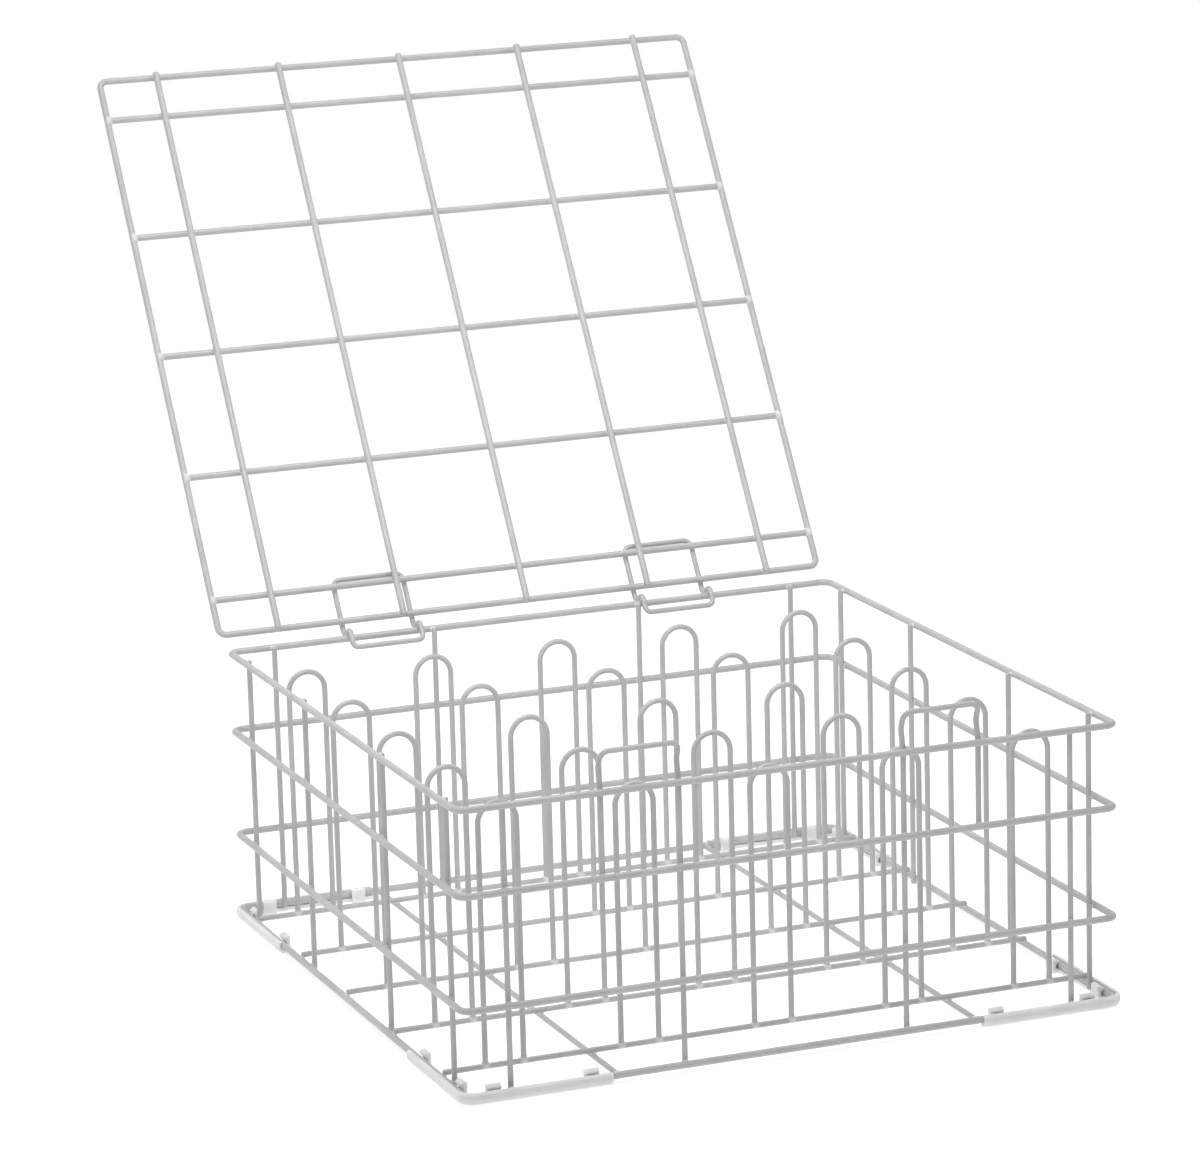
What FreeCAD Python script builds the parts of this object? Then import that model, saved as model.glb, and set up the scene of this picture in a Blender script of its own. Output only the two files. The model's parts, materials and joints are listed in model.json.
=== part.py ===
import FreeCAD, Part
import math
import os

# Wire washer basket with a hinged wire lid.  Millimetres, +Z up.
# Origin: centre of the basket's footprint, on the surface it stands on.
# +X to the right and -Y to the front, where the two lid catches are; the lid hinges at +Y.

# ---- driving dimensions ----
HEAVY = 2.5              # radius of the coated wire of rims, base frame and lid
LIGHT = 2.0              # radius of the coated wire of uprights, hoops, catches and clips
PITCH = 100.0            # grid of cross wires, hoops and lid wires
ROWS = (2, 1, 0, -1, -2)  # grid lines, back to front or left to right

FRAME = 245.0            # half the side of the square rims, to the wire's axis
CORNER = 8.0             # bend radius of rims and base frame
BASE_Z = 5.5             # axis of the base frame above the floor
LOWER_RIM_Z = BASE_Z + 60.0
MIDDLE_RIM_Z = BASE_Z + 140.0
TOP_RIM_Z = BASE_Z + 200.0

UPRIGHT_OUTER = 211.0    # uprights from the middle of each side
UPRIGHT_INNER = 83.5
UPRIGHT_TOP = 1.2        # above the top rim's axis
LONG_WIRE_X = 135.0      # the two floor wires that run front to back
HOOP_TOP_Z = BASE_Z + 190.0
HOOP_WIDTH = 28.0

CATCH_WIDTH = 57.0       # lid catches at the front, between leg axes
CATCH_KINK_UP = 15.0     # the kink above the top rim's axis
CATCH_KINK_IN = 3.0      # and inwards of the legs
CATCH_TOP_UP = 27.5      # the catch's top bar
CATCH_TOP_OUT = 1.8
CATCH_CORNER = 6.5

LID_GAP = 0.3            # closed lid above the rims it lies on
LID_START = 16.0         # hinge axis to the lid's nearest frame wire
LID_LENGTH = 461.5
LID_HALF_WIDTH = 245.0
LID_CORNER = 6.0         # bend radius of the lid frame
LID_FIRST_WIRE = 28.0    # first cross wire from the lid's hinge edge
LID_LEFT = 3.0           # the lid stands at the left end of its side play
LID_OPEN = 123.0         # degrees from closed to the open stop

CLIP_X = 119.0           # hinge clips from the lid's middle
CLIP_WIDTH = 56.0
CLIP_TOP = 50.5          # closed top of the clip, from the hinge axis
CLIP_CROSS = (6.4, 4.8)  # where it crosses the lid's plane, outer and inner side
CLIP_INNER = 5.8         # the tongue's distance on the inner side of the axis
CLIP_TONGUE = 9.5        # the tongue's bar beyond the hinge axis
CLIP_CORNER = 6.0        # bend radius at the clip's top
CLIP_TIP_CORNER = 4.5    # and at its tongue

SKID_ARM = 105.5         # corner skid's arms, from the frame's corner
SKID_WALL = 2.5
SKID_PLAY = 0.15         # between skid and base frame
SKID_ROUND = 1.0         # rounding of the arms' ends
SKID_TOP = 3.5           # its wall's edge, above the base frame's axis
SKID_LIP = 2.2           # the gutter's floor ends this far inwards of that axis
SKID_TABS = (21.5, 92.5)  # tab centres from the frame's corner
TAB_WIDTH = 10.0
TAB_INSIDE = (4.2, 7.2)  # the tab's faces, inwards of the base frame's axis
TAB_NOSE = (1.9, 3.0)    # the nose that snaps over the wire: inwards of and above its axis
TAB_TOP = 5.5

V = FreeCAD.Vector
X_AXIS = V(1, 0, 0)
Z_AXIS = V(0, 0, 1)
HINGE = V(0, FRAME, TOP_RIM_Z)
INSIDE = FRAME - HEAVY - LIGHT      # uprights lie against the inside of the rims
FLOOR_WIRE_Z = BASE_Z + HEAVY + LIGHT


# ---- wire ----
def rod(start, end, radius):
    """A straight wire."""
    run = end - start
    return Part.makeCylinder(radius, run.Length, start, run)


def bends_and_runs(points, radius, bends, closed):
    """The pieces of one bent wire: tangent arcs of the given bend radii, and the straight runs between."""
    count = len(points)
    arrive = {}
    leave = {}
    pieces = []
    for i in range(count) if closed else range(1, count - 1):
        here = points[i]
        before = (here - points[i - 1]).normalize()
        after = (points[(i + 1) % count] - here).normalize()
        turn = before.getAngle(after)
        bend = bends[i]
        reach = bend * math.tan(turn / 2)
        arrive[i] = here - before * reach
        leave[i] = here + after * reach
        axis = before.cross(after).normalize()
        centre = arrive[i] + axis.cross(before) * bend
        disc = Part.Face(Part.Wire(Part.makeCircle(radius, arrive[i], before)))
        pieces.append(disc.revolve(centre, axis, math.degrees(turn)))
    for i in range(count if closed else count - 1):
        j = (i + 1) % count
        start = leave.get(i, points[i])
        end = arrive.get(j, points[j])
        if (end - start).Length > 0.01:
            pieces.append(rod(start, end, radius))
    return pieces


def tube(points, radius, bends, closed=False):
    """One bent wire as one solid."""
    pieces = bends_and_runs(points, radius, bends, closed)
    return pieces[0].multiFuse(pieces[1:]).removeSplitter().Solids[0]


def frame_loop(corners, bend):
    """A closed frame of heavy wire: its runs and bends meet face to face, so none spans its open inside."""
    return Part.makeCompound(bends_and_runs(corners, HEAVY, [bend] * 4, closed=True))


def square_loop(z):
    """A closed rim of the basket."""
    corners = [V(-FRAME, -FRAME, z), V(FRAME, -FRAME, z), V(FRAME, FRAME, z), V(-FRAME, FRAME, z)]
    return frame_loop(corners, CORNER)


# ---- basket ----
def upright(x, y):
    """One upright, from inside the base frame to just above the top rim's axis."""
    return rod(V(x, y, BASE_Z - LIGHT), V(x, y, TOP_RIM_Z + UPRIGHT_TOP), LIGHT)


def basket_wires():
    parts = {
        "base_frame": square_loop(BASE_Z),
        "lower_rim": square_loop(LOWER_RIM_Z),
        "middle_rim": square_loop(MIDDLE_RIM_Z),
        "top_rim": square_loop(TOP_RIM_Z),
    }
    for number, row in enumerate(ROWS, 1):
        y = row * PITCH
        start = V(-FRAME, y, FLOOR_WIRE_Z)
        end = V(FRAME, y, FLOOR_WIRE_Z)
        parts["cross_wire_%d" % number] = rod(start, end, LIGHT)
    reach = FRAME - HEAVY
    for side, x in (("left", -LONG_WIRE_X), ("right", LONG_WIRE_X)):
        z = FLOOR_WIRE_Z - 2 * LIGHT
        parts["long_wire_" + side] = rod(V(x, -reach, z), V(x, reach, z), LIGHT)
    places = (-UPRIGHT_OUTER, -UPRIGHT_INNER, UPRIGHT_INNER, UPRIGHT_OUTER)
    parts["uprights_left"] = Part.makeCompound([upright(-INSIDE, y) for y in places])
    parts["uprights_right"] = Part.makeCompound([upright(INSIDE, y) for y in places])
    parts["uprights_rear"] = Part.makeCompound([upright(x, INSIDE) for x in places])
    parts["uprights_front"] = Part.makeCompound([upright(x, -INSIDE) for x in (places[0], places[3])])
    return parts


def hoop(x, y):
    """One upside-down U, standing on a cross wire."""
    half = HOOP_WIDTH / 2
    foot = FLOOR_WIRE_Z + LIGHT
    path = [V(x - half, y, foot), V(x - half, y, HOOP_TOP_Z),
            V(x + half, y, HOOP_TOP_Z), V(x + half, y, foot)]
    return tube(path, LIGHT, [0, half, half, 0])


def hoops():
    parts = {}
    for number, row in enumerate(ROWS, 1):
        for column in range(1, 6):
            parts["hoop_%d_%d" % (number, column)] = hoop((column - 3) * PITCH, row * PITCH)
    return parts


def catch(side):
    """A lid catch: its inner leg is one of the front uprights, its outer leg ends on the middle rim."""
    inner = side * UPRIGHT_INNER
    outer = side * (UPRIGHT_INNER + CATCH_WIDTH)
    kink = V(0, CATCH_KINK_IN - INSIDE, TOP_RIM_Z + CATCH_KINK_UP)
    top = V(0, -INSIDE - CATCH_TOP_OUT, TOP_RIM_Z + CATCH_TOP_UP)
    rim = V(0, -INSIDE, TOP_RIM_Z)
    along = [V(inner, -INSIDE, BASE_Z - LIGHT), rim + X_AXIS * inner, kink + X_AXIS * inner,
             top + X_AXIS * inner, top + X_AXIS * outer, kink + X_AXIS * outer,
             rim + X_AXIS * outer, V(outer, -INSIDE, MIDDLE_RIM_Z - HEAVY)]
    soft = 12.0
    tight = 6.0
    return tube(along, LIGHT, [0, soft, tight, CATCH_CORNER, CATCH_CORNER, tight, soft, 0])


# ---- corner skids ----
def skid_section():
    """The gutter's cross-section at the front left corner's left arm: x outwards is negative."""
    wall = HEAVY + SKID_WALL
    hug = HEAVY + SKID_PLAY
    low = -BASE_Z
    round_low = 4.6
    round_top = 2.0
    grip = math.radians(50)
    slope = math.sqrt(0.5)
    edge = V(-hug * math.cos(grip), 0, hug * math.sin(grip))
    p = [V(SKID_LIP, 0, low), V(-wall + round_low, 0, low), V(-wall, 0, low + round_low),
         V(-wall, 0, SKID_TOP - round_top), V(-wall + round_top, 0, SKID_TOP),
         V(edge.x - 0.6, 0, SKID_TOP), V(edge.x, 0, SKID_TOP - 0.6), edge,
         V(0, 0, -hug), V(SKID_LIP, 0, -hug)]
    low_mid = V(-wall + round_low * (1 - slope), 0, low + round_low * (1 - slope))
    top_mid = V(-wall + round_top * (1 - slope), 0, SKID_TOP - round_top * (1 - slope))
    edges = [
        Part.makeLine(p[0], p[1]),
        Part.Arc(p[1], low_mid, p[2]).toShape(),
        Part.makeLine(p[2], p[3]),
        Part.Arc(p[3], top_mid, p[4]).toShape(),
        Part.makeLine(p[4], p[5]),
        Part.makeLine(p[5], p[6]),
        Part.makeLine(p[6], p[7]),
        Part.Arc(p[7], V(-hug, 0, 0), p[8]).toShape(),
        Part.makeLine(p[8], p[9]),
        Part.makeLine(p[9], p[0]),
    ]
    return Part.Face(Part.Wire(edges))


def skid_tab():
    """A tab inside the base frame, with a nose that snaps over the wire, centred on y = 0."""
    near, far = TAB_INSIDE
    nose, nose_z = TAB_NOSE
    foot = 1.0
    floor_top = -HEAVY - SKID_PLAY
    outline = [V(foot, 0, floor_top), V(foot, 0, -BASE_Z), V(far, 0, -BASE_Z), V(far, 0, TAB_TOP - 0.9),
               V(far - 0.9, 0, TAB_TOP), V(near, 0, TAB_TOP), V(nose, 0, nose_z + 0.9), V(nose, 0, nose_z),
               V(near, 0, 0.4), V(near, 0, floor_top)]
    face = Part.Face(Part.makePolygon(outline + outline[:1]))
    tab = face.extrude(V(0, TAB_WIDTH, 0))
    tab.translate(V(0, -TAB_WIDTH / 2, 0))
    return tab


def arm():
    """The left arm of the front left skid, from the corner's arc to its rounded end."""
    length = SKID_ARM - CORNER
    run = skid_section().extrude(V(0, length, 0))
    run.translate(V(-FRAME, CORNER - FRAME, BASE_Z))
    ends = [e for e in run.Edges if e.BoundBox.YMin > SKID_ARM - FRAME - 0.01
            and e.CenterOfMass.x < -FRAME - HEAVY - 1.0]
    run = run.makeFillet(SKID_ROUND, ends)
    for place in SKID_TABS:
        tab = skid_tab()
        tab.translate(V(-FRAME, place - FRAME, BASE_Z))
        run = run.fuse(tab)
    return run


def front_left_skid():
    left = arm()
    front = left.mirror(V(0, 0, 0), V(1, -1, 0))
    section = skid_section()
    section.translate(V(-FRAME, CORNER - FRAME, BASE_Z))
    bend = section.revolve(V(CORNER - FRAME, CORNER - FRAME, 0), Z_AXIS, 90)
    body = bend.multiFuse([left, front]).removeSplitter()
    slot = Part.makeBox(5.0, 2.4, BASE_Z, V(-2.5, -1.2, 0))
    slot.rotate(V(0, 0, 0), Z_AXIS, -45)
    middle = CORNER * (1 - math.sqrt(0.5)) - FRAME
    slot.translate(V(middle, middle, -1))
    return body.cut(slot).Solids[0]


def skids():
    first = front_left_skid()
    mirror_x = first.mirror(V(0, 0, 0), X_AXIS)
    return {
        "skid_front_left": first,
        "skid_front_right": mirror_x,
        "skid_rear_left": first.mirror(V(0, 0, 0), V(0, 1, 0)),
        "skid_rear_right": mirror_x.mirror(V(0, 0, 0), V(0, 1, 0)),
    }


# ---- lid: along is the distance from the hinge axis, out is the side that is up when closed ----
LID_OUT = 2 * HEAVY + LID_GAP


def on_lid(x, along, out):
    """A point of the closed lid."""
    return HINGE + V(x - LID_LEFT, -along, out)


def opened(shape):
    """The lid is drawn closed and turned back to its open stop."""
    turned = shape.copy()
    turned.rotate(HINGE, X_AXIS, -LID_OPEN)
    return turned


def lid_wires():
    far = LID_START + LID_LENGTH
    half = LID_HALF_WIDTH
    corners = [on_lid(-half, LID_START, LID_OUT), on_lid(half, LID_START, LID_OUT),
               on_lid(half, far, LID_OUT), on_lid(-half, far, LID_OUT)]
    parts = {"lid_frame": opened(frame_loop(corners, LID_CORNER))}
    lap = HEAVY - 0.2
    below = LID_OUT - 2 * HEAVY
    for number in range(1, 6):
        along = LID_START + LID_FIRST_WIRE + (number - 1) * PITCH
        across = rod(on_lid(-half + HEAVY, along, LID_OUT), on_lid(half - HEAVY, along, LID_OUT), HEAVY)
        parts["lid_cross_wire_%d" % number] = opened(across)
        x = (number - 3) * PITCH
        length = rod(on_lid(x, LID_START - lap, below), on_lid(x, far + lap, below), HEAVY)
        parts["lid_long_wire_%d" % number] = opened(length)
    return parts


def hinge_clip(middle):
    """A closed wire loop on the lid's outer side that crosses in front of the rim and ends below it."""
    outer = LID_OUT + HEAVY + LIGHT
    side = [(CLIP_TOP, outer), (CLIP_CROSS[0], outer), (CLIP_CROSS[1], -CLIP_INNER),
            (-CLIP_TONGUE, -CLIP_INNER)]
    left = [on_lid(middle - CLIP_WIDTH / 2, along, out) for along, out in side]
    right = [on_lid(middle + CLIP_WIDTH / 2, along, out) for along, out in side]
    bend = 4.0
    bends = [CLIP_CORNER, bend, bend, CLIP_TIP_CORNER]
    return opened(tube(left + right[::-1], LIGHT, bends + bends[::-1], closed=True))


def main():
    parts = {}
    parts.update(basket_wires())
    parts.update(hoops())
    parts["catch_left"] = catch(-1)
    parts["catch_right"] = catch(1)
    parts.update(skids())
    parts.update(lid_wires())
    parts["hinge_clip_left"] = hinge_clip(-CLIP_X)
    parts["hinge_clip_right"] = hinge_clip(CLIP_X)
    os.makedirs("parts", exist_ok=True)
    for name, shape in parts.items():
        shape.exportStep("parts/%s.step" % name)
        box = shape.BoundBox
        print("%-18s valid %s solids %d volume %8.0f  x %.1f %.1f  y %.1f %.1f  z %.1f %.1f" % (
            name, shape.isValid(), len(shape.Solids), shape.Volume,
            box.XMin, box.XMax, box.YMin, box.YMax, box.ZMin, box.ZMax))


main()
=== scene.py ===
import math

import bpy
import numpy as np
from mathutils import Matrix, Vector, noise
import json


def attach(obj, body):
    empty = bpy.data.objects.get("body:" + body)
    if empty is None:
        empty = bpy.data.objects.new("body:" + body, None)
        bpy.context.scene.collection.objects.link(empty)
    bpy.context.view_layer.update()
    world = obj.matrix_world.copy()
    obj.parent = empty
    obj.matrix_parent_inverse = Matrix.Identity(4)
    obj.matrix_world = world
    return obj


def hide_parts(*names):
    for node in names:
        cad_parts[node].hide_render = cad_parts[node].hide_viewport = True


# Coated-wire washer basket with a hinged wire lid: smooth coated wires with weld fillets, moulded skids.
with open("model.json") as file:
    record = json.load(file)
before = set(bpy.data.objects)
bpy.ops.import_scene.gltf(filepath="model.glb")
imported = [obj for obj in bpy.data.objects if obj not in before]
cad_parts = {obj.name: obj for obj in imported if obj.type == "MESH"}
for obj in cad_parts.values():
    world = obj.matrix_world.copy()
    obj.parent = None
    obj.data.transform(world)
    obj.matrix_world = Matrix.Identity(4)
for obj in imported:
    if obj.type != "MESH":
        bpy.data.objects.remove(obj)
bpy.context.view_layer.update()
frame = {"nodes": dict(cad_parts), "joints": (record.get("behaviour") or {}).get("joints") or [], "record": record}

MM = 0.001

# ---- wires ----
SIDES = 24                # facets round a wire
RING_STEP = 8 * MM        # rings along a straight wire
ARC_STEP = math.radians(6)
CUT_ROUND = 1.2 * MM      # how the coating rounds a cut end
COAT_WAVE = 0.03 * MM     # unevenness of the coating's thickness
WAVE_LENGTH = 14 * MM

# bend radii to the wire's axis
RIM_BEND = 8 * MM
LID_BEND = 6 * MM
CATCH_BENDS = (12 * MM, 6 * MM, 6.5 * MM)     # at the top rim, the kink and the top bar
CATCH_KINK = (15 * MM, 3 * MM)                # above the top rim, and inwards
CATCH_TOP_OUT = 1.8 * MM
CLIP_BENDS = (6 * MM, 4 * MM, 4 * MM, 4.5 * MM)  # at the top, through the lid's plane, and at the tip
CLIP_CROSS = (6.4 * MM, 4.8 * MM)             # where the clip crosses the lid's plane

# ---- welds ----
WELD_BLEND = 1.9 * MM     # how far the coating flows into the corner between two wires
WELD_SKIN = 0.03 * MM     # the fillet lies this far outside the bare wires
WELD_CELL = 0.42 * MM
TOUCH = 0.3 * MM          # wires nearer than this are welded
NOT_SQUARE = 0.02         # cosine between two wires above which they aren't welded
NEAR_END = 3              # a cut end within this many radii of a crossing shapes its fillet
SINK = 1 * MM             # how far the end of a butting wire goes into the other wire
POLISH = 4                # times that a fillet's points are moved onto the exact surface

# ---- skids ----
SAME_POINT = 0.01 * MM
SKID_EDGE = 0.3 * MM      # how wide the softening of an edge is
SHARP = math.radians(35)  # edges sharper than this are softened

# ---- the lid is drawn closed, where its wires are square to the basket, and then turned open ----
hinge = frame["joints"][0]
pivot = Vector(hinge["pos_m"])
CLOSE = (Matrix.Translation(pivot)
         @ Matrix.Rotation(math.radians(hinge["range_deg"][1]), 4, Vector(hinge["axis"]))
         @ Matrix.Translation(-pivot))
STILL = Matrix.Identity(4)

bodies = frame["record"]["behaviour"]["bodies"]
body_of_node = {node: body for body, nodes in bodies.items() for node in nodes}
slot_of_node = {part["node"]: part["material_slot"] for part in frame["record"]["subparts"]}
drawn_at = {"basket": STILL, "lid": CLOSE}


def extent(node):
    """Lowest and highest corner of a CAD node where it is drawn."""
    pose = drawn_at[body_of_node[node]]
    points = np.array([pose @ v.co for v in frame["nodes"][node].data.vertices])
    return Vector(points.min(0)), Vector(points.max(0))


def middle(node):
    low, high = extent(node)
    return (low + high) / 2


def half(node):
    low, high = extent(node)
    return (high - low) / 2


# ---- centre lines ----
def centre_line(points, bends, closed):
    """Points along straight runs that are joined by tangent arcs."""
    count = len(points)
    line = []
    for i, here in enumerate(points):
        if bends[i] == 0:
            line.append(here)
            continue
        before = (here - points[i - 1]).normalized()
        after = (points[(i + 1) % count] - here).normalized()
        turn = before.angle(after)
        start = here - before * bends[i] * math.tan(turn / 2)
        axis = before.cross(after).normalized()
        centre = start + axis.cross(before) * bends[i]
        steps = math.ceil(turn / ARC_STEP)
        for k in range(steps + 1):
            line.append(centre + Matrix.Rotation(turn * k / steps, 3, axis) @ (start - centre))
    filled = []
    for i, here in enumerate(line):
        filled.append(here)
        if closed or i + 1 < len(line):
            onward = line[(i + 1) % len(line)] - here
            runs = math.ceil(onward.length / RING_STEP)
            filled += [here + onward * k / runs for k in range(1, runs)]
    return filled


def straight_runs(points, bends, closed):
    """The straight runs of a bent wire: start, stop, and whether the wire is cut at each."""
    count = len(points)
    reach = []
    for i, here in enumerate(points):
        turn = 0
        if bends[i]:
            turn = (here - points[i - 1]).angle(points[(i + 1) % count] - here)
        reach.append(bends[i] * math.tan(turn / 2))
    runs = []
    for i in range(count if closed else count - 1):
        j = (i + 1) % count
        way = (points[j] - points[i]).normalized()
        first = not closed and i == 0
        last = not closed and j == count - 1
        runs.append((points[i] + way * reach[i], points[j] - way * reach[j], first, last))
    return runs


def end_rings(line, radius):
    """Swaps each end of an open centre line for the rings of its rounded cut."""
    angles = [math.radians(a) for a in (0, 22, 45, 68, 90)]
    depths = [CUT_ROUND * (1 - math.cos(a)) for a in angles]
    widths = [radius - CUT_ROUND + CUT_ROUND * math.sin(a) for a in angles]
    first = (line[1] - line[0]).normalized()
    last = (line[-2] - line[-1]).normalized()
    head = [line[0] + first * d for d in depths]
    tail = [line[-1] + last * d for d in reversed(depths)]
    inner = line[1:-1]
    return head + inner + tail, widths + [radius] * len(inner) + widths[::-1]


def rings(line, radii, closed):
    """Vertices and faces of a tube round a centre line, with no twist."""
    places = np.array(line)
    ahead = np.roll(places, -1, 0) - places
    behind = places - np.roll(places, 1, 0)
    if not closed:
        ahead[-1] = behind[-1]
        behind[0] = ahead[0]
    way = ahead / np.linalg.norm(ahead, axis=1)[:, None] + behind / np.linalg.norm(behind, axis=1)[:, None]
    way /= np.linalg.norm(way, axis=1)[:, None]
    side = np.cross(way[0], np.eye(3)[np.argmin(abs(way[0]))])
    sides = []
    for step in way:
        side = side - step * side.dot(step)
        side /= np.linalg.norm(side)
        sides.append(side)
    sides = np.array(sides)
    count = len(places)
    if closed:
        back = sides[-1] - way[0] * sides[-1].dot(way[0])
        twist = math.atan2(np.cross(sides[0], back).dot(way[0]), back.dot(sides[0]))
        unwind = -twist * np.arange(count) / count
        sides = sides * np.cos(unwind)[:, None] + np.cross(way, sides) * np.sin(unwind)[:, None]
    up = np.cross(way, sides)
    round_angles = np.arange(SIDES) * 2 * math.pi / SIDES
    circle = (sides[:, None] * np.cos(round_angles)[None, :, None]
              + up[:, None] * np.sin(round_angles)[None, :, None])
    verts = (places[:, None] + circle * np.array(radii)[:, None, None]).reshape(-1, 3)
    faces = []
    for i in range(count if closed else count - 1):
        a = i * SIDES
        b = (i + 1) % count * SIDES
        for k in range(SIDES):
            n = (k + 1) % SIDES
            faces.append((a + k, a + n, b + n, b + k))
    if not closed:
        start = len(verts)
        verts = np.vstack([verts, places[:1], places[-1:]])
        last = (count - 1) * SIDES
        for k in range(SIDES):
            n = (k + 1) % SIDES
            faces.append((k, start, n))
            faces.append((last + n, start + 1, last + k))
    return verts, faces


# ---- weld fillets ----
def wire_fields(p, big, small, apart, end, butt):
    """Distance outside two wires at points p: one along X, the other square to it."""
    first = np.hypot(p[..., 1], p[..., 2]) - big
    if butt:
        around = np.hypot(p[..., 0], p[..., 1] - apart)
        return first, np.maximum(around - small, -p[..., 2])
    around = np.hypot(p[..., 0], p[..., 2] - apart)
    if end is None:
        return first, around - small
    u = around - (small - CUT_ROUND)
    v = p[..., 1] - (end - CUT_ROUND)
    outside = np.hypot(np.maximum(u, 0), np.maximum(v, 0))
    return first, outside + np.minimum(np.maximum(u, v), 0) - CUT_ROUND


def merged(p, *sizes):
    """The two wires under one coat that fills the corner between them."""
    first, second = wire_fields(p, *sizes)
    share = np.clip(0.5 + 0.5 * (second - first) / WELD_BLEND, 0, 1)
    return second * (1 - share) + first * share - WELD_BLEND * share * (1 - share) - WELD_SKIN


def surface_net(field, low):
    """A closed surface through the grid cells where the field changes sign."""
    shape = np.array(field.shape) - 1
    total = np.zeros((*shape, 3))
    hits = np.zeros(shape)
    quads = []
    number = np.arange(shape.prod()).reshape(shape)
    grid = np.stack(np.meshgrid(*[np.arange(n) for n in field.shape], indexing="ij"), -1).astype(float)
    for axis in range(3):
        near = np.delete(field, -1, axis)
        far = np.delete(field, 0, axis)
        cross = (near < 0) != (far < 0)
        gap = np.where(cross, near - far, 1)
        point = np.delete(grid, -1, axis)
        point[..., axis] += np.where(cross, near / gap, 0)
        b, c = [k for k in range(3) if k != axis]
        ring = []
        for db, dc in ((1, 1), (0, 1), (0, 0), (1, 0)):
            inner = [slice(None)] * 3
            cells = [slice(None)] * 3
            inner[b] = slice(1, -1)
            inner[c] = slice(1, -1)
            cells[b] = slice(1 - db, shape[b] - db)
            cells[c] = slice(1 - dc, shape[c] - dc)
            inner = tuple(inner)
            cells = tuple(cells)
            total[cells] += np.where(cross[inner][..., None], point[inner], 0)
            hits[cells] += cross[inner]
            ring.append(number[cells][cross[inner]])
        forward = (near[inner] < 0)[cross[inner]]
        if axis == 1:
            forward = ~forward
        ring = np.stack(ring, -1)
        quads.append(np.where(forward[:, None], ring, ring[:, ::-1]))
    quads = np.vstack(quads)
    used, faces = np.unique(quads, return_inverse=True)
    places = total.reshape(-1, 3)[used] / hits.reshape(-1)[used][:, None]
    return places * WELD_CELL + low, faces.reshape(-1, 4)


fillets = {}


def fillet(big, small, apart, end, butt):
    """The coat's surface near the weld of two wires, and how deep in the corner each point is."""
    key = (butt, *(None if v is None else round(v / MM, 1) for v in (big, small, apart, end)))
    if key in fillets:
        return fillets[key]
    sizes = (big, small, apart, end, butt)
    wide = small + WELD_BLEND + 2 * WELD_CELL
    deep = big + WELD_BLEND + 2 * WELD_CELL
    if butt:
        low = np.array([-wide, -deep, -big])
        high = np.array([wide, deep, deep])
    else:
        low = np.array([-wide, -deep, -big - WELD_CELL])
        high = np.array([wide, deep, apart + small + WELD_CELL])
    counts = np.ceil((high - low) / WELD_CELL).astype(int) + 1
    axes = [low[i] + np.arange(counts[i]) * WELD_CELL for i in range(3)]
    grid = np.stack(np.meshgrid(*axes, indexing="ij"), -1)
    places, faces = surface_net(merged(grid, *sizes), low)
    nudge = 0.02 * MM
    for _ in range(POLISH):
        value = merged(places, *sizes)
        slope = np.stack([(merged(places + nudge * d, *sizes) - value) / nudge for d in np.eye(3)], -1)
        places = places - slope * (value / (slope ** 2).sum(-1))[:, None]
    first, second = wire_fields(places, *sizes)
    depth = 1 - abs(first - second) / WELD_BLEND
    keep = depth > -WELD_CELL / WELD_BLEND
    kept = faces[keep[faces].all(1)]
    used, kept = np.unique(kept, return_inverse=True)
    fillets[key] = (places[used], kept.reshape(-1, 4), np.clip(depth[used], 0, 1))
    return fillets[key]


# ---- pieces ----
class WirePiece:
    """One named piece of coated wire, gathered where it is drawn.

    runs holds its straight runs for the welds, each with the wire's radius and the piece.
    """

    def __init__(self, node):
        self.node = node
        self.body = body_of_node[node]
        self.verts = []
        self.faces = []
        self.depth = []
        self.count = 0
        self.runs = []

    def add(self, verts, faces, depth=None):
        self.verts.append(verts)
        self.depth.append(np.zeros(len(verts)) if depth is None else depth)
        self.faces += [tuple(v + self.count for v in face) for face in faces]
        self.count += len(verts)

    def wire(self, points, radius, bends=None, closed=False):
        bends = bends or [0] * len(points)
        line = centre_line(points, bends, closed)
        radii = [radius] * len(line)
        if not closed:
            line, radii = end_rings(line, radius)
        waves = [noise.noise(place / WAVE_LENGTH) for place in line]
        radii = [r + COAT_WAVE * wave for r, wave in zip(radii, waves)]
        self.add(*rings(line, radii, closed))
        self.runs += [(run, radius, self) for run in straight_runs(points, bends, closed)]

    def weld(self, place, along, across, sizes):
        """A fillet where a wire along one direction meets this piece's wire across it."""
        verts, faces, depth = fillet(*sizes)
        out = along.cross(across)
        turn = np.array([along, across, out])
        self.add(verts @ turn + np.array(place), faces.tolist(), depth)

    def build(self):
        mesh = bpy.data.meshes.new(self.node + "_coated")
        mesh.from_pydata(np.vstack(self.verts).tolist(), [], self.faces)
        corner = mesh.attributes.new("weld", "FLOAT", "POINT")
        corner.data.foreach_set("value", np.concatenate(self.depth).astype(np.float32))
        mesh.polygons.foreach_set("use_smooth", [True] * len(mesh.polygons))
        mesh.transform(drawn_at[self.body].inverted())
        mesh.update()
        piece = bpy.data.objects.new(self.node + "_coated", mesh)
        bpy.context.scene.collection.objects.link(piece)
        mesh.materials.append(materials[slot_of_node[self.node]])
        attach(piece, self.body)
        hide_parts(self.node)


pieces = {}


def wire_piece(node):
    pieces[node] = WirePiece(node)
    return pieces[node]


def loop(node, bend):
    """A closed rectangular rim."""
    low, high = extent(node)
    radius = (high.z - low.z) / 2
    z = (low.z + high.z) / 2
    x = (low.x + radius, high.x - radius)
    y = (low.y + radius, high.y - radius)
    corners = [Vector((x[i], y[j], z)) for i, j in ((0, 0), (1, 0), (1, 1), (0, 1))]
    wire_piece(node).wire(corners, radius, [bend] * 4, closed=True)


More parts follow.
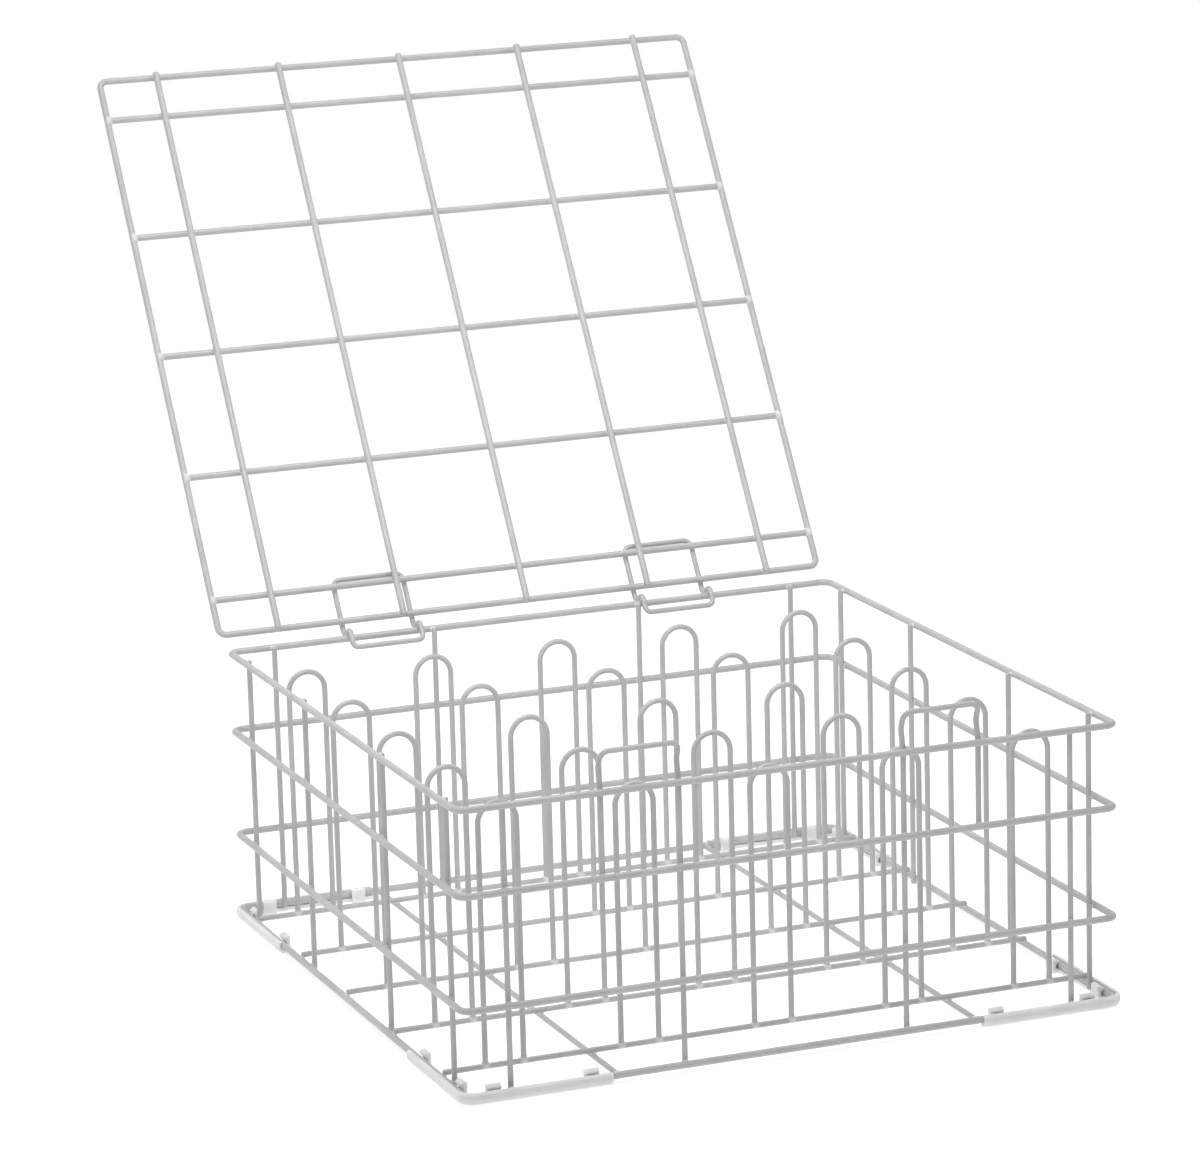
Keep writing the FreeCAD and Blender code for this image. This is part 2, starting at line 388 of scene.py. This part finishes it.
def straight(node, axis, sink=0.0):
    """A straight wire along X or Y, whose ends sink into the wires that they butt against."""
    size = half(node)
    reach = Vector((0, 0, 0))
    reach[axis] = size[axis] + sink
    wire_piece(node).wire([middle(node) - reach, middle(node) + reach], size.z)


def uprights(node, across, places):
    """A row of uprights in one node; across is the axis that they stand along."""
    low, high = extent(node)
    thin = 1 - across
    radius = (high[thin] - low[thin]) / 2
    piece = wire_piece(node)
    for place in places:
        foot = Vector((0, 0, low.z))
        foot[thin] = (low[thin] + high[thin]) / 2
        foot[across] = place
        piece.wire([foot, Vector((foot.x, foot.y, high.z))], radius)


def hoop(node):
    low, high = extent(node)
    radius = (high.y - low.y) / 2
    y = (low.y + high.y) / 2
    x = (low.x + radius, high.x - radius)
    foot = low.z - radius / 2
    top = high.z - radius
    bend = (x[1] - x[0]) / 2 * 0.999      # a little less, so that the two arcs don't overlap
    points = [Vector((x[i], y, z)) for i, z in ((0, foot), (0, top), (1, top), (1, foot))]
    wire_piece(node).wire(points, radius, [0, bend, bend, 0])


def catch(node, side, y, radius):
    """A lid catch: an upright that goes on up as a loop over the rim and down to the middle rim."""
    low, high = extent(node)
    xs = (low.x + radius, high.x - radius)
    inner, outer = xs if side > 0 else xs[::-1]
    rim = middle("top_rim").z
    up, inwards = CATCH_KINK
    profile = [(0, rim), (inwards, rim + up), (-CATCH_TOP_OUT, high.z - radius)]
    going_up = [Vector((inner, y + out, z)) for out, z in profile]
    coming_down = [Vector((outer, y + out, z)) for out, z in reversed(profile)]
    foot = extent("middle_rim")[0].z
    points = [Vector((inner, y, low.z)), *going_up, *coming_down, Vector((outer, y, foot))]
    bends = [0, *CATCH_BENDS, *reversed(CATCH_BENDS), 0]
    wire_piece(node).wire(points, radius, bends)


def clip(node, radius):
    """A hinge clip: a closed loop on the lid's outer side, whose tongue hooks under the rear rim."""
    low, high = extent(node)
    top = low.y + radius
    tip = high.y - radius
    outer = high.z - radius
    inner = low.z + radius
    side = [(top, outer), (pivot.y - CLIP_CROSS[0], outer), (pivot.y - CLIP_CROSS[1], inner), (tip, inner)]
    left = [Vector((low.x + radius, y, z)) for y, z in side]
    right = [Vector((high.x - radius, y, z)) for y, z in side]
    wire_piece(node).wire(left + right[::-1], radius, [*CLIP_BENDS, *reversed(CLIP_BENDS)], closed=True)


def skid(node):
    """A moulded corner skid: the CAD shape with its edges softened."""
    mesh = frame["nodes"][node].data.copy()
    mesh.materials.clear()
    mesh.materials.append(materials[slot_of_node[node]])
    piece = bpy.data.objects.new(node + "_moulded", mesh)
    bpy.context.scene.collection.objects.link(piece)
    weld = piece.modifiers.new("weld", "WELD")
    weld.merge_threshold = SAME_POINT
    bevel = piece.modifiers.new("soft edges", "BEVEL")
    bevel.width = SKID_EDGE
    bevel.segments = 2
    bevel.angle_limit = SHARP
    bevel.harden_normals = True
    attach(piece, body_of_node[node])
    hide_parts(node)


def weld_wires():
    """Puts a fillet wherever two wires of one body touch square to each other."""
    runs = [run for piece in pieces.values() for run in piece.runs]
    for i, (run_a, radius_a, piece_a) in enumerate(runs):
        for run_b, radius_b, piece_b in runs[:i]:
            if piece_a.body == piece_b.body and piece_a is not piece_b:
                meet(run_a, radius_a, piece_a, run_b, radius_b, piece_b)


def meet(run_a, radius_a, piece_a, run_b, radius_b, piece_b):
    """Welds two straight runs where one of them ends on the other or crosses it."""
    way_a = run_a[1] - run_a[0]
    way_b = run_b[1] - run_b[0]
    length_a = way_a.length
    length_b = way_b.length
    way_a = way_a / length_a
    way_b = way_b / length_b
    if abs(way_a.dot(way_b)) > NOT_SQUARE:
        return
    apart = run_b[0] - run_a[0]
    at_a = min(max(apart.dot(way_a), 0), length_a)
    at_b = min(max(-apart.dot(way_b), 0), length_b)
    on_a = run_a[0] + way_a * at_a
    on_b = run_b[0] + way_b * at_b
    gap = on_b - on_a
    if gap.length > radius_a + radius_b + TOUCH:
        return
    # each end of a run: whether the wire is cut there, how far away it is, and the way inwards
    ends_a = ((run_a[2], at_a, way_a), (run_a[3], length_a - at_a, -way_a))
    ends_b = ((run_b[2], at_b, way_b), (run_b[3], length_b - at_b, -way_b))
    for ends, on, radius, piece, other_way, other_on, other_radius in (
            (ends_a, on_a, radius_a, piece_a, way_b, on_b, radius_b),
            (ends_b, on_b, radius_b, piece_b, way_a, on_a, radius_a)):
        for cut, left, inwards in ends:
            beside = (on - other_on).dot(inwards) > -TOUCH and gap.length < other_radius + TOUCH
            if cut and left < TOUCH and beside:
                butt(piece, other_on, other_way, inwards, on, other_radius, radius)
                return
    end = None
    for cut, left, inwards in ends_b:
        if cut and left < NEAR_END * radius_b:
            end = left
            way_b = -inwards
    if end is None:
        for cut, left, inwards in ends_a:
            if cut and left < NEAR_END * radius_a:
                cross(piece_a, on_b, -inwards, on_a - on_b, radius_b, radius_a, left)
                return
    cross(piece_b, on_a, way_b, on_b - on_a, radius_a, radius_b, end)


def cross(piece, place, across, gap, big, small, end):
    """A fillet where this piece's wire crosses another, which passes through a place."""
    piece.weld(place, across.cross(gap.normalized()), across, (big, small, gap.length, end, False))


def butt(piece, place, along, inwards, on, big, small):
    """A fillet where this piece's wire ends on another, which passes through a place."""
    across = inwards.cross(along).normalized()
    shift = (on - place).dot(across)
    piece.weld(place, across.cross(inwards), across, (big, small, shift, None, True))


# ---- materials ----
def shader(name):
    material = bpy.data.materials.new(name)
    material.use_nodes = True
    nodes = material.node_tree.nodes
    return material, nodes, material.node_tree.links, nodes["Principled BSDF"]


def coarse_and_fine(nodes, links, scales, detail):
    """Noise textures in the object's own space."""
    space = nodes.new("ShaderNodeTexCoord")
    made = []
    for scale in scales:
        texture = nodes.new("ShaderNodeTexNoise")
        texture.inputs["Scale"].default_value = scale
        texture.inputs["Detail"].default_value = detail
        links.new(space.outputs["Object"], texture.inputs["Vector"])
        made.append(texture.outputs["Fac"])
    return made


def ramp(nodes, links, value, low, high, start=0.3, stop=0.7):
    """A colour that runs from low to high as a value runs from start to stop."""
    band = nodes.new("ShaderNodeValToRGB")
    band.color_ramp.elements[0].position = start
    band.color_ramp.elements[0].color = (*low, 1)
    band.color_ramp.elements[1].position = stop
    band.color_ramp.elements[1].color = (*high, 1)
    links.new(value, band.inputs["Fac"])
    return band.outputs["Color"]


def bumps(nodes, links, bsdf, heights):
    """Stacks bump layers, each (height, distance in metres)."""
    normal = None
    for height, distance in heights:
        bump = nodes.new("ShaderNodeBump")
        bump.inputs["Strength"].default_value = 1.0
        bump.inputs["Distance"].default_value = distance
        links.new(height, bump.inputs["Height"])
        if normal is not None:
            links.new(normal, bump.inputs["Normal"])
        normal = bump.outputs["Normal"]
    links.new(normal, bsdf.inputs["Normal"])


def coated_wire(name, light, dark):
    """Satin light grey nylon coat: faint cloudiness, orange peel, and a painted highlight that makes the weld
    corners paler.
    """
    material, nodes, links, bsdf = shader(name)
    cloud, peel, grain = coarse_and_fine(nodes, links, (38, 420, 1500), 2)
    body = ramp(nodes, links, cloud, dark, light)
    corner = nodes.new("ShaderNodeAttribute")
    corner.attribute_name = "weld"
    # painted highlight: the weld corners are mixed towards pale grey by their depth in the corner, standing in for
    # glints on the fillets
    painted_weld_highlight = nodes.new("ShaderNodeMix")
    painted_weld_highlight.data_type = "RGBA"
    painted_weld_highlight.inputs["B"].default_value = (0.80, 0.80, 0.79, 1)
    share = nodes.new("ShaderNodeMath")
    share.operation = "MULTIPLY"
    share.inputs[1].default_value = 0.6
    links.new(corner.outputs["Fac"], share.inputs[0])
    links.new(share.outputs[0], painted_weld_highlight.inputs["Factor"])
    links.new(body, painted_weld_highlight.inputs["A"])
    links.new(painted_weld_highlight.outputs["Result"], bsdf.inputs["Base Color"])
    links.new(ramp(nodes, links, peel, (0.32,) * 3, (0.44,) * 3), bsdf.inputs["Roughness"])
    bsdf.inputs["IOR"].default_value = 1.52
    bumps(nodes, links, bsdf, [(peel, 0.05 * MM), (grain, 0.012 * MM)])
    return material


def skid_plastic(name):
    """Milky moulded polyethylene, a little translucent, with faint flow marks and a fine matt grain."""
    material, nodes, links, bsdf = shader(name)
    flow, grain = coarse_and_fine(nodes, links, (60, 1800), 3)
    links.new(ramp(nodes, links, flow, (0.66, 0.66, 0.655), (0.73, 0.73, 0.725)), bsdf.inputs["Base Color"])
    links.new(ramp(nodes, links, grain, (0.38,) * 3, (0.5,) * 3), bsdf.inputs["Roughness"])
    bsdf.inputs["Subsurface Weight"].default_value = 1.0
    bsdf.inputs["Subsurface Radius"].default_value = (1.0, 0.95, 0.9)
    bsdf.inputs["Subsurface Scale"].default_value = 7 * MM
    bumps(nodes, links, bsdf, [(flow, 0.06 * MM), (grain, 0.01 * MM)])
    return material


materials = {
    "coated_frame_wire": coated_wire("frame wire coat", (0.47, 0.47, 0.475), (0.42, 0.42, 0.425)),
    "coated_thin_wire": coated_wire("thin wire coat", (0.46, 0.46, 0.465), (0.41, 0.41, 0.415)),
    "skid_plastic": skid_plastic("skid plastic"),
}


# ---- the basket ----
def make_basket():
    for node in ("base_frame", "lower_rim", "middle_rim", "top_rim"):
        loop(node, RIM_BEND)
    rows = range(1, 6)
    for row in rows:
        straight("cross_wire_%d" % row, 0)
    for side in ("left", "right"):
        straight("long_wire_" + side, 1, sink=SINK)
    thin = half("cross_wire_1").z
    outer = extent("uprights_left")[1].y - thin
    inner = extent("catch_right")[0].x + thin
    uprights("uprights_left", 1, (-outer, -inner, inner, outer))
    uprights("uprights_right", 1, (-outer, -inner, inner, outer))
    uprights("uprights_rear", 0, (-outer, -inner, inner, outer))
    uprights("uprights_front", 0, (-outer, outer))
    for row in rows:
        for column in rows:
            hoop("hoop_%d_%d" % (row, column))
    front = middle("uprights_front").y
    catch("catch_left", -1, front, thin)
    catch("catch_right", 1, front, thin)
    for corner in ("front_left", "front_right", "rear_left", "rear_right"):
        skid("skid_" + corner)


def make_lid():
    loop("lid_frame", LID_BEND)
    for number in range(1, 6):
        straight("lid_cross_wire_%d" % number, 0, sink=SINK)
        straight("lid_long_wire_%d" % number, 1)
    thin = half("cross_wire_1").z
    clip("hinge_clip_left", thin)
    clip("hinge_clip_right", thin)


make_basket()
make_lid()
weld_wires()
for wire in pieces.values():
    wire.build()


# ---- camera, floor and light ----
VIEW_TURN = 21.446        # degrees to the right of straight ahead
VIEW_DOWN = 13.165
VIEW_ROLL = -1.534
VIEW_PLACE = Vector((-1.3915, -3.4356, 1.1572))
LENS = 158.95
FLOOR_REACH = 20
FLOOR_DROP = 0.1 * MM

camera = bpy.data.objects.new("camera", bpy.data.cameras.new("camera"))
camera.data.sensor_width = 36
camera.data.lens = LENS
camera.data.clip_end = 60
camera.matrix_world = (Matrix.Translation(VIEW_PLACE)
                       @ Matrix.Rotation(math.radians(-VIEW_TURN), 4, "Z")
                       @ Matrix.Rotation(math.radians(90 - VIEW_DOWN), 4, "X")
                       @ Matrix.Rotation(math.radians(VIEW_ROLL), 4, "Z"))
bpy.context.scene.collection.objects.link(camera)
bpy.context.scene.camera = camera


def make_floor():
    """A wide pale floor just under the skids."""
    square = ((-1, -1), (1, -1), (1, 1), (-1, 1))
    corners = [(x * FLOOR_REACH, y * FLOOR_REACH, -FLOOR_DROP) for x, y in square]
    mesh = bpy.data.meshes.new("floor")
    mesh.from_pydata(corners, [], [(0, 1, 2, 3)])
    floor = bpy.data.objects.new("floor", mesh)
    bpy.context.scene.collection.objects.link(floor)
    material, _, _, bsdf = shader("floor")
    bsdf.inputs["Base Color"].default_value = (0.5, 0.5, 0.5, 1)
    bsdf.inputs["Roughness"].default_value = 0.9
    bsdf.inputs["Specular IOR Level"].default_value = 0.1
    bsdf.inputs["Emission Color"].default_value = (1, 1, 1, 1)
    bsdf.inputs["Emission Strength"].default_value = 0.66
    mesh.materials.append(material)


def make_world():
    """A soft white studio, brighter behind the basket than in front of it."""
    world = bpy.data.worlds.new("studio")
    bpy.context.scene.world = world
    world.use_nodes = True
    nodes = world.node_tree.nodes
    links = world.node_tree.links
    space = nodes.new("ShaderNodeTexCoord")
    facing = nodes.new("ShaderNodeVectorMath")
    facing.operation = "DOT_PRODUCT"
    facing.inputs[1].default_value = Vector((-0.1, 0.95, 0.25)).normalized()
    spread = nodes.new("ShaderNodeMapRange")
    spread.inputs["From Min"].default_value = -1
    spread.inputs["From Max"].default_value = 1
    spread.inputs["To Min"].default_value = 0.25
    spread.inputs["To Max"].default_value = 0.95
    links.new(space.outputs["Generated"], facing.inputs[0])
    links.new(facing.outputs["Value"], spread.inputs["Value"])
    links.new(spread.outputs["Result"], nodes["Background"].inputs["Strength"])
    nodes["Background"].inputs["Color"].default_value = (1, 1, 1, 1)


def softbox(name, place, target, size, power, spread=180):
    """A square lamp aimed at a target; spread is its beam's angle in degrees."""
    lamp = bpy.data.lights.new(name, "AREA")
    lamp.shape = "SQUARE"
    lamp.size = size
    lamp.energy = power
    lamp.spread = math.radians(spread)
    light = bpy.data.objects.new(name, lamp)
    light.location = place
    light.rotation_euler = (Vector(target) - Vector(place)).to_track_quat("-Z", "Y").to_euler()
    bpy.context.scene.collection.objects.link(light)


make_floor()
make_world()
softbox("top light", (-0.1, -0.15, 1.55), (0, 0.1, 0.2), 1.1, 11)
softbox("beam on the rear", (-0.35, -0.6, 1.35), (0.05, 0.32, 0.08), 0.5, 0.7, spread=50)
bpy.context.scene.view_settings.view_transform = "Standard"
